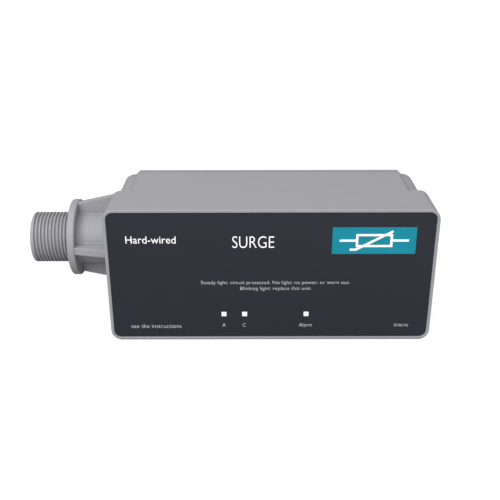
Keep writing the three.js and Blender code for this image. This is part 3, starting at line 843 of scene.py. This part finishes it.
def window_lens(name):
    """A light pipe with eased edges, its face level with the sheet."""
    low, high = corners(f"window_{name}")
    base = (high.x - low.x) / 2
    half = WINDOW["side"] / 2 - WINDOW["play"]
    foot = high.y - WINDOW["foot"]
    front = low.y + FACEPLATE["sunk"]
    ease = WINDOW["rounding"]

    def square(size, y, radius=ease):
        return at_depth(rectangle(low, high, base - size, radius, TINY_ARC), y)

    sections = [square(half - inset, front + ease - along, ease - inset / 2)
                for inset, along in reversed(rounding_steps(ease, steps=2))]
    sections += [square(half, foot), square(base, foot), square(base, high.y)]
    smooth(piece(f"lens_{name}", loft("lens", sections), "lens_plastic", f"window_{name}"))


def badge():
    """The teal panel, a little shorter than its CAD node."""
    low, high = corners("badge")
    high.z -= BADGE["trim"]
    front, back = low.y + FACEPLATE["sunk"], high.y + FACEPLATE["sunk"]
    ease = BADGE["easing"]
    made = loft("badge", [at_depth(rectangle(low, high, inset, BADGE["radius"], TINY_ARC), y)
                          for inset, y in ((0, back), (0, front + ease), (ease, front))])
    smooth(piece("teal_badge", made, "badge_film", "badge"))


def bar(start, end, width, depth):
    """A thin raised bar from one (x, z) point to another."""
    a, b = Vector(start), Vector(end)
    along = (b - a).normalized()
    across = Vector((-along.y, along.x)) * width / 2
    outline = [a + across, b + across, b - across, a - across]
    return loft("bar", [at_depth(outline, depth), at_depth(outline, depth - PRINT["relief"])])


def badge_symbol():
    """The circuit symbol for a varistor, with a lead on each side, printed on the badge."""
    half, rise, reach = SYMBOL["half"], SYMBOL["rise"], SYMBOL["reach"]
    end = half + SYMBOL["line"] / 2
    slash_x, slash_z = SYMBOL_SLASH
    tail_x, tail_z = SYMBOL_TAIL
    lines = [
        (-reach, 0, -half, 0),
        (half, 0, reach, 0),
        (-end, rise, end, rise),
        (-end, -rise, end, -rise),
        (-half, -rise, -half, rise),
        (half, -rise, half, rise),
        (-slash_x, -slash_z, slash_x, slash_z),
        (-tail_x, -tail_z, -half, -tail_z),
    ]
    x, z = place_of("badge")
    depth = corners("badge")[0].y + FACEPLATE["sunk"] + SYMBOL["sunk"]
    bars = [bar((x + a, z + b), (x + c, z + d), SYMBOL["line"], depth) for a, b, c, d in lines]
    piece("badge_symbol", join(bars[0], *bars[1:]), "badge_film", material=INK)


def lettering(name, words, material):
    """A table of printed words, as one raised mesh on the sheet."""
    left, top = LEFT + RIM["width"], TOP - RIM["width"] - PRINT["drop"]
    built = bmesh.new()
    for text, centre, base, height, width, bold in words:
        curve = bpy.data.curves.new("word", "FONT")
        curve.body = text
        curve.size = 1
        curve.offset = bold
        curve.extrude = PRINT["relief"] / 2
        curve.resolution_u = TINY_ARC
        holder = bpy.data.objects.new("word", curve)
        bpy.context.scene.collection.objects.link(holder)
        graph = bpy.context.evaluated_depsgraph_get()
        mesh = bpy.data.meshes.new_from_object(holder.evaluated_get(graph))
        points = np.array([v.co for v in mesh.vertices])
        low, high = points.min(0), points.max(0)
        stretch = (width / (high[0] - low[0]), height / (high[1] - low[1]))
        for vertex in mesh.vertices:
            x = left + centre - width / 2 + (vertex.co.x - low[0]) * stretch[0]
            y = FACE - PRINT["relief"] if vertex.co.z > 0 else FACE
            z = top - base + (vertex.co.y - low[1]) * stretch[1]
            vertex.co = Vector((x, y, z)) * MM
        built.from_mesh(mesh)
        bpy.data.objects.remove(holder)
    bmesh.ops.remove_doubles(built, verts=built.verts, dist=1e-7)
    bmesh.ops.recalc_face_normals(built, faces=built.faces)
    result = bpy.data.meshes.new(name)
    built.to_mesh(result)
    built.free()
    piece(name, result, "overlay_film", material=material)


housing()
rear_cover()
for number, spot in enumerate(screw_places(), 1):
    cover_screw(number, spot)
faceplate()
for window in WINDOWS:
    window_lens(window)
badge()
badge_symbol()
lettering("printed_words", TITLES, INK)
lettering("small_print", SMALL_PRINT, SMALL_INK)


# ---- board parts ----

def varistor(index):
    """A coated disc with a rounded rim, on two legs with the coating run down over them."""
    node = f"varistor_{index}"
    low, high = corners(node)
    radius, side = (high.z - low.z) / 2, (high.x - low.x) / 2
    centre = middle(node)
    centre.y = high.y - radius
    profile = [(centre.x - side, VARISTOR["eye"])]
    for angle in np.linspace(-math.pi / 2, math.pi / 2, VARISTOR["steps"] + 1):
        out = abs(math.sin(angle))
        dome = 1 - VARISTOR["dome"] * (1 - out)
        across = side * dome * math.sin(angle)
        profile.append((centre.x + across, radius - side * VARISTOR["rim"] * out ** 3))
    profile.append((centre.x + side, VARISTOR["eye"]))
    top = centre.y - radius * SKIRT_START
    skirt = [(top + along, size) for along, size in VARISTOR_SKIRT]
    legs = []
    for sign in (-1, 1):
        place = (centre.x, centre.z + sign * VARISTOR["spacing"] / 2)
        legs.append(rod_y(low.y, centre.y, VARISTOR["leg"], place, VARISTOR_SIDES["leg"]))
        legs.append(lathe_y("skirt", skirt, place, VARISTOR_SIDES["skirt"]))
    made = join(turned("disc", profile, "x", centre, ROUND_LARGE), *legs)
    smooth(piece(f"varistor_disc_{index}", made, "varistor_coating", node), angle=50)


def lamp(name, slot):
    """A round indicator lamp with a full dome and a foot ring."""
    node = f"led_{name}"
    low, high = corners(node)
    radius = LAMP["radius"]
    profile = [(low.y + radius * (1 - math.cos(a)), radius * math.sin(a))
               for a in np.linspace(LAMP["first"], math.pi / 2, LAMP["steps"] + 1)]
    profile += [(high.y - LAMP["foot"] + along, size) for along, size in LAMP_FOOT]
    smooth(piece(f"lamp_{name}", lathe_y("lamp", profile, place_of(node)), slot, node), angle=40)


def barrel(name):
    """A resistor: a barrel with swollen ends on its own bent wire."""
    node = f"resistor_{name}"
    low, high = corners(node)
    wire = RESISTOR["wire"]
    centre = middle(node)
    centre.y = high.y - RESISTOR["radius"]
    reach = (high.x - low.x) / 2 - wire
    profile = [(centre.x + along, size) for along, size in RESISTOR_END]
    profile += [(centre.x - along, size) for along, size in reversed(RESISTOR_END)]
    rail = turned("wire", [(centre.x - reach, wire), (centre.x + reach, wire)], "x", centre,
                  ROUND_WIRE)
    ball = [(centre.y + wire * math.sin(a), wire * math.cos(a))
            for a in np.linspace(-KNEE["angle"], KNEE["angle"], KNEE["steps"] + 1)]
    ends = [(centre.x - reach, centre.z), (centre.x + reach, centre.z)]
    legs = [rod_y(low.y, centre.y, wire, place, ROUND_WIRE) for place in ends]
    knees = [lathe_y("knee", ball, place, ROUND_WIRE) for place in ends]
    made = join(turned("barrel", profile, "x", centre), rail, *legs, *knees)
    smooth(piece(f"barrel_{name}", made, "resistor_coating", node), angle=40)


def can():
    """The electrolytic capacitor: a sleeved can with a rolled groove and a vented top."""
    node = "electrolytic_capacitor"
    low, high = corners(node)
    groove = low.y + CAN["start"]
    profile = [(low.y + along, size) for along, size in CAN_BASE]
    profile += [(groove + CAN["width"] * t, CAN["radius"] - CAN["groove"] * math.sin(math.pi * t))
                for t in np.linspace(0, 1, CAN["steps"] + 1)]
    profile += [(high.y + along, size) for along, size in CAN_TOP]
    vents = cross(place_of(node), CAN_VENT["reach"], high.y - CAN_VENT["depth"], high.y + OVERLAP)
    made = cut(lathe_y("can", profile, place_of(node), ROUND_MEDIUM), *vents)
    smooth(piece("sleeved_can", made, "sleeve_film", node), angle=35)


def eased_block(node, name, slot, radius, ease, dish=0.0):
    """A board part's block with rounded corners, an eased top edge and maybe a dished top."""
    low, high = corners(node)

    def ring(inset, y):
        return at_depth(rectangle(low, high, inset, radius, SMALL_ARC), y)

    sections = [ring(0, low.y)]
    sections += [ring(inset, high.y - ease + along) for inset, along in rounding_steps(ease, steps=4)]
    if dish:
        rim = ease + DISH_RIM
        sections += [ring(rim, high.y), ring(rim + dish, high.y - dish)]
    smooth(piece(name, loft(name, sections), slot, node), angle=35)


for number in range(1, 7):
    varistor(number)
for lamp_name, lamp_slot in (("a", "led_clear"), ("c", "led_clear"), ("alarm", "led_red")):
    lamp(lamp_name, lamp_slot)
    barrel(lamp_name)
can()
for letter in ("a", "c"):
    eased_block(f"film_capacitor_{letter}", f"boxed_film_{letter}", "film_case",
                radius=0.6, ease=0.3, dish=0.2)
for letter in ("a", "c", "n"):
    eased_block(f"thermal_fuse_{letter}", f"ceramic_fuse_{letter}", "fuse_ceramic",
                radius=0.7, ease=0.25, dish=0.15)
eased_block("controller_chip", "moulded_chip", "sleeve_film", radius=0.3, ease=0.15)


# ---- leads ----

def lead_path(name, quarter):
    """Places and directions along a lead, from its terminal to just inside the mouth."""
    bare = corners(f"lead_{name}")[1].x
    half = LEAD["spacing"] / 2
    start = middle(f"terminal_{name}")
    start.x = bare
    across = Vector((0, quarter[0] * half, quarter[1] * half))
    axis = Vector((0, NIPPLE_DEPTH, NIPPLE_HEIGHT))
    bend = Vector((SEAT + LEAD["bend_end"], 0, 0)) + axis + across
    end = Vector((MOUTH + LEAD["end"], 0, 0)) + axis + across
    handle = Vector(((start.x - bend.x) / 2, 0, 0))
    places = []
    for step in range(LEAD_STEPS["bend"] + 1):
        t = step / LEAD_STEPS["bend"]
        u = 1 - t
        places.append(u ** 3 * start + 3 * u * u * t * (start - handle)
                      + 3 * u * t * t * (bend + handle) + t ** 3 * bend)
    straight = LEAD_STEPS["straight"]
    return places + [bend.lerp(end, (step + 1) / straight) for step in range(straight)]


def sweep(name, places, outline):
    """A closed rod along places: outline(distance along) gives the (across, up) points."""
    sections = []
    along = 0
    for index, place in enumerate(places):
        before, after = places[max(index - 1, 0)], places[min(index + 1, len(places) - 1)]
        ahead = (after - before).normalized()
        side = ahead.cross(Vector((0, 0, 1))).normalized()
        up = side.cross(ahead)
        along += (place - before).length
        sections.append([place + side * u + up * v for u, v in outline(along)])
    return loft(name, sections)


def sleeve(name, places, slot):
    """A lead's insulation, with its cut end eased."""
    direction = (places[-1] - places[-2]).normalized()
    easing = LEAD["easing"]
    outer = places[:-1] + [places[-1] - direction * easing, places[-1]]
    total = sum((b - a).length for a, b in zip(outer, outer[1:]))
    nearly_there = total - easing / 2

    def skin(along):
        return circle(LEAD["radius"] - (easing if along > nearly_there else 0), LEAD_SIDES["skin"])

    first = (places[0] - places[1]).normalized()
    inner = [places[0] + first] + places + [places[-1] + direction]
    core = sweep("core", inner, lambda along: circle(LEAD["bore"], LEAD_SIDES["bore"]))
    made = cut(sweep("skin", outer, skin), core)
    smooth(piece(f"insulation_{name}", made, slot, f"lead_{name}"))


def strands(name, places):
    """The lead's copper: layers of thin wires laid in a slow twist."""
    direction = (places[-1] - places[-2]).normalized()
    straight = Vector((corners(f"conductor_{name}")[1].x - places[0].x, 0, 0))
    route = [places[0] + straight, places[0] + straight / 2] + places
    route.append(places[-1] + direction * STRANDS["past"])
    whole = bmesh.new()
    for ring, count in enumerate(STRANDS["rings"]):
        away = 2 * ring * STRANDS["radius"] * STRANDS["packing"]
        for index in range(count):
            turn = 2 * math.pi * index / count

            def wire(along, away=away, turn=turn):
                angle = turn + 2 * math.pi * along / STRANDS["lay"]
                centre = (away * math.cos(angle), away * math.sin(angle))
                return circle(STRANDS["radius"], LEAD_SIDES["strand"], centre)

            whole.from_mesh(sweep("wire", route, wire))
    made = bpy.data.meshes.new("strands")
    whole.to_mesh(made)
    whole.free()
    smooth(piece(f"strands_{name}", made, "copper", f"conductor_{name}"), angle=60)


def grommet(routes):
    """The rubber plug in the neck that the four leads pass through."""
    start = SEAT + PLUG["start"]
    end = start + PLUG["length"]
    radius = PLUG["radius"]
    profile = [(start + along, radius + out) for along, out in PLUG_EDGE]
    profile += [((start + end) / 2 + along, radius + out) for along, out in PLUG_WAIST]
    profile += [(end - along, radius + out) for along, out in reversed(PLUG_EDGE)]
    holes = []
    for places in routes:
        last = places[-1]
        route = [last, last + Vector((end - last.x + OVERLAP, 0, 0))]
        holes.append(sweep("hole", route, lambda along: circle(PLUG["hole"], LEAD_SIDES["skin"])))
    made = cut(lathe_x("grommet", profile, ROUND_LARGE), *holes)
    smooth(piece("lead_grommet", made, "seal_rubber", "lead_plug"))


def leads():
    routes = []
    for name, quarter, slot in (
        ("a", (1, 1), "insulation_black"),
        ("c", (-1, 1), "insulation_black"),
        ("n", (-1, -1), "insulation_white"),
        ("g", (1, -1), "insulation_green"),
    ):
        places = lead_path(name, quarter)
        routes.append(places)
        sleeve(name, places, slot)
        strands(name, places)
    grommet(routes)


leads()


# ---- stage ----

def floor():
    """A wide white floor under the box, which bounces less light than the camera sees."""
    half = FLOOR["half"]
    level = BOTTOM - FLOOR["gap"]
    made = bpy.data.objects.new("floor", mesh_from("floor", [
        (-half, -half, level), (half, -half, level), (half, half, level), (-half, half, level),
    ], [(0, 1, 2, 3)]))
    bpy.context.scene.collection.objects.link(made)
    material = bpy.data.materials.new("white_floor")
    material.use_nodes = True
    tree = material.node_tree
    tree.nodes.clear()
    add, link = tree.nodes.new, tree.links.new
    output = add("ShaderNodeOutputMaterial")
    chosen = add("ShaderNodeMixShader")
    path = add("ShaderNodeLightPath")
    unseen = add("ShaderNodeBsdfDiffuse")
    unseen.inputs["Color"].default_value = (*[FLOOR["bounce"]] * 3, 1)
    seen = add("ShaderNodeAddShader")
    glow = add("ShaderNodeEmission")
    glow.inputs["Strength"].default_value = FLOOR["glow"]
    matte = add("ShaderNodeBsdfDiffuse")
    matte.inputs["Color"].default_value = (*[FLOOR["matte"]] * 3, 1)
    link(glow.outputs[0], seen.inputs[0])
    link(matte.outputs[0], seen.inputs[1])
    link(path.outputs["Is Camera Ray"], chosen.inputs[0])
    link(unseen.outputs[0], chosen.inputs[1])
    link(seen.outputs[0], chosen.inputs[2])
    link(chosen.outputs[0], output.inputs["Surface"])
    made.data.materials.append(material)


def softbox(name, azimuth, elevation, size, power):
    """A round area light aimed at the box's middle. Azimuth 0 is in front of the faceplate."""
    light = bpy.data.lights.new(name, "AREA")
    light.energy = power
    light.size = size * MM
    light.shape = "DISK"
    holder = bpy.data.objects.new(name, light)
    bpy.context.scene.collection.objects.link(holder)
    a, e = math.radians(azimuth), math.radians(elevation)
    aim = Vector((0, FRONT / 2, 0)) * MM
    away = Vector((math.sin(a) * math.cos(e), -math.cos(a) * math.cos(e), math.sin(e)))
    holder.location = aim + away * LIGHT_DISTANCE * MM
    holder.rotation_euler = (-away).to_track_quat("-Z", "Y").to_euler()
    return holder


def world(around, seen):
    """Even white light all round; the camera itself sees brighter white behind the floor."""
    made = bpy.data.worlds.new("studio")
    bpy.context.scene.world = made
    made.use_nodes = True
    tree = made.node_tree
    background = tree.nodes["Background"]
    background.inputs["Color"].default_value = (1, 1, 1, 1)
    path = tree.nodes.new("ShaderNodeLightPath")
    amount = tree.nodes.new("ShaderNodeMapRange")
    amount.inputs["To Min"].default_value = around
    amount.inputs["To Max"].default_value = seen
    tree.links.new(path.outputs["Is Camera Ray"], amount.inputs["Value"])
    tree.links.new(amount.outputs["Result"], background.inputs["Strength"])


def camera():
    """The camera looks at the faceplate from above, level across."""
    data = bpy.data.cameras.new("camera")
    data.lens = CAMERA["lens"]
    data.sensor_width = CAMERA["sensor"]
    data.clip_start, data.clip_end = 0.01, 50
    holder = bpy.data.objects.new("camera", data)
    bpy.context.scene.collection.objects.link(holder)
    holder.location = Vector(CAMERA["place"]) * MM
    downward, roll = math.radians(CAMERA["downward"]), math.radians(CAMERA["roll"])
    aim = Matrix.Rotation(math.pi / 2 - downward, 3, "X") @ Matrix.Rotation(-roll, 3, "Z")
    holder.rotation_euler = aim.to_euler()
    bpy.context.scene.camera = holder


floor()
softbox("key", azimuth=-38, elevation=46, size=1500, power=17.6)
softbox("fill", azimuth=18, elevation=20, size=1500, power=7)
back_light = softbox("back", azimuth=165, elevation=9, size=420, power=5.5)
back_light.visible_glossy = False
world(around=0.4, seen=0.97)
camera()
view = bpy.context.scene.view_settings
view.view_transform = "Standard"
view.look = "None"
view.exposure = 0
view.gamma = 1
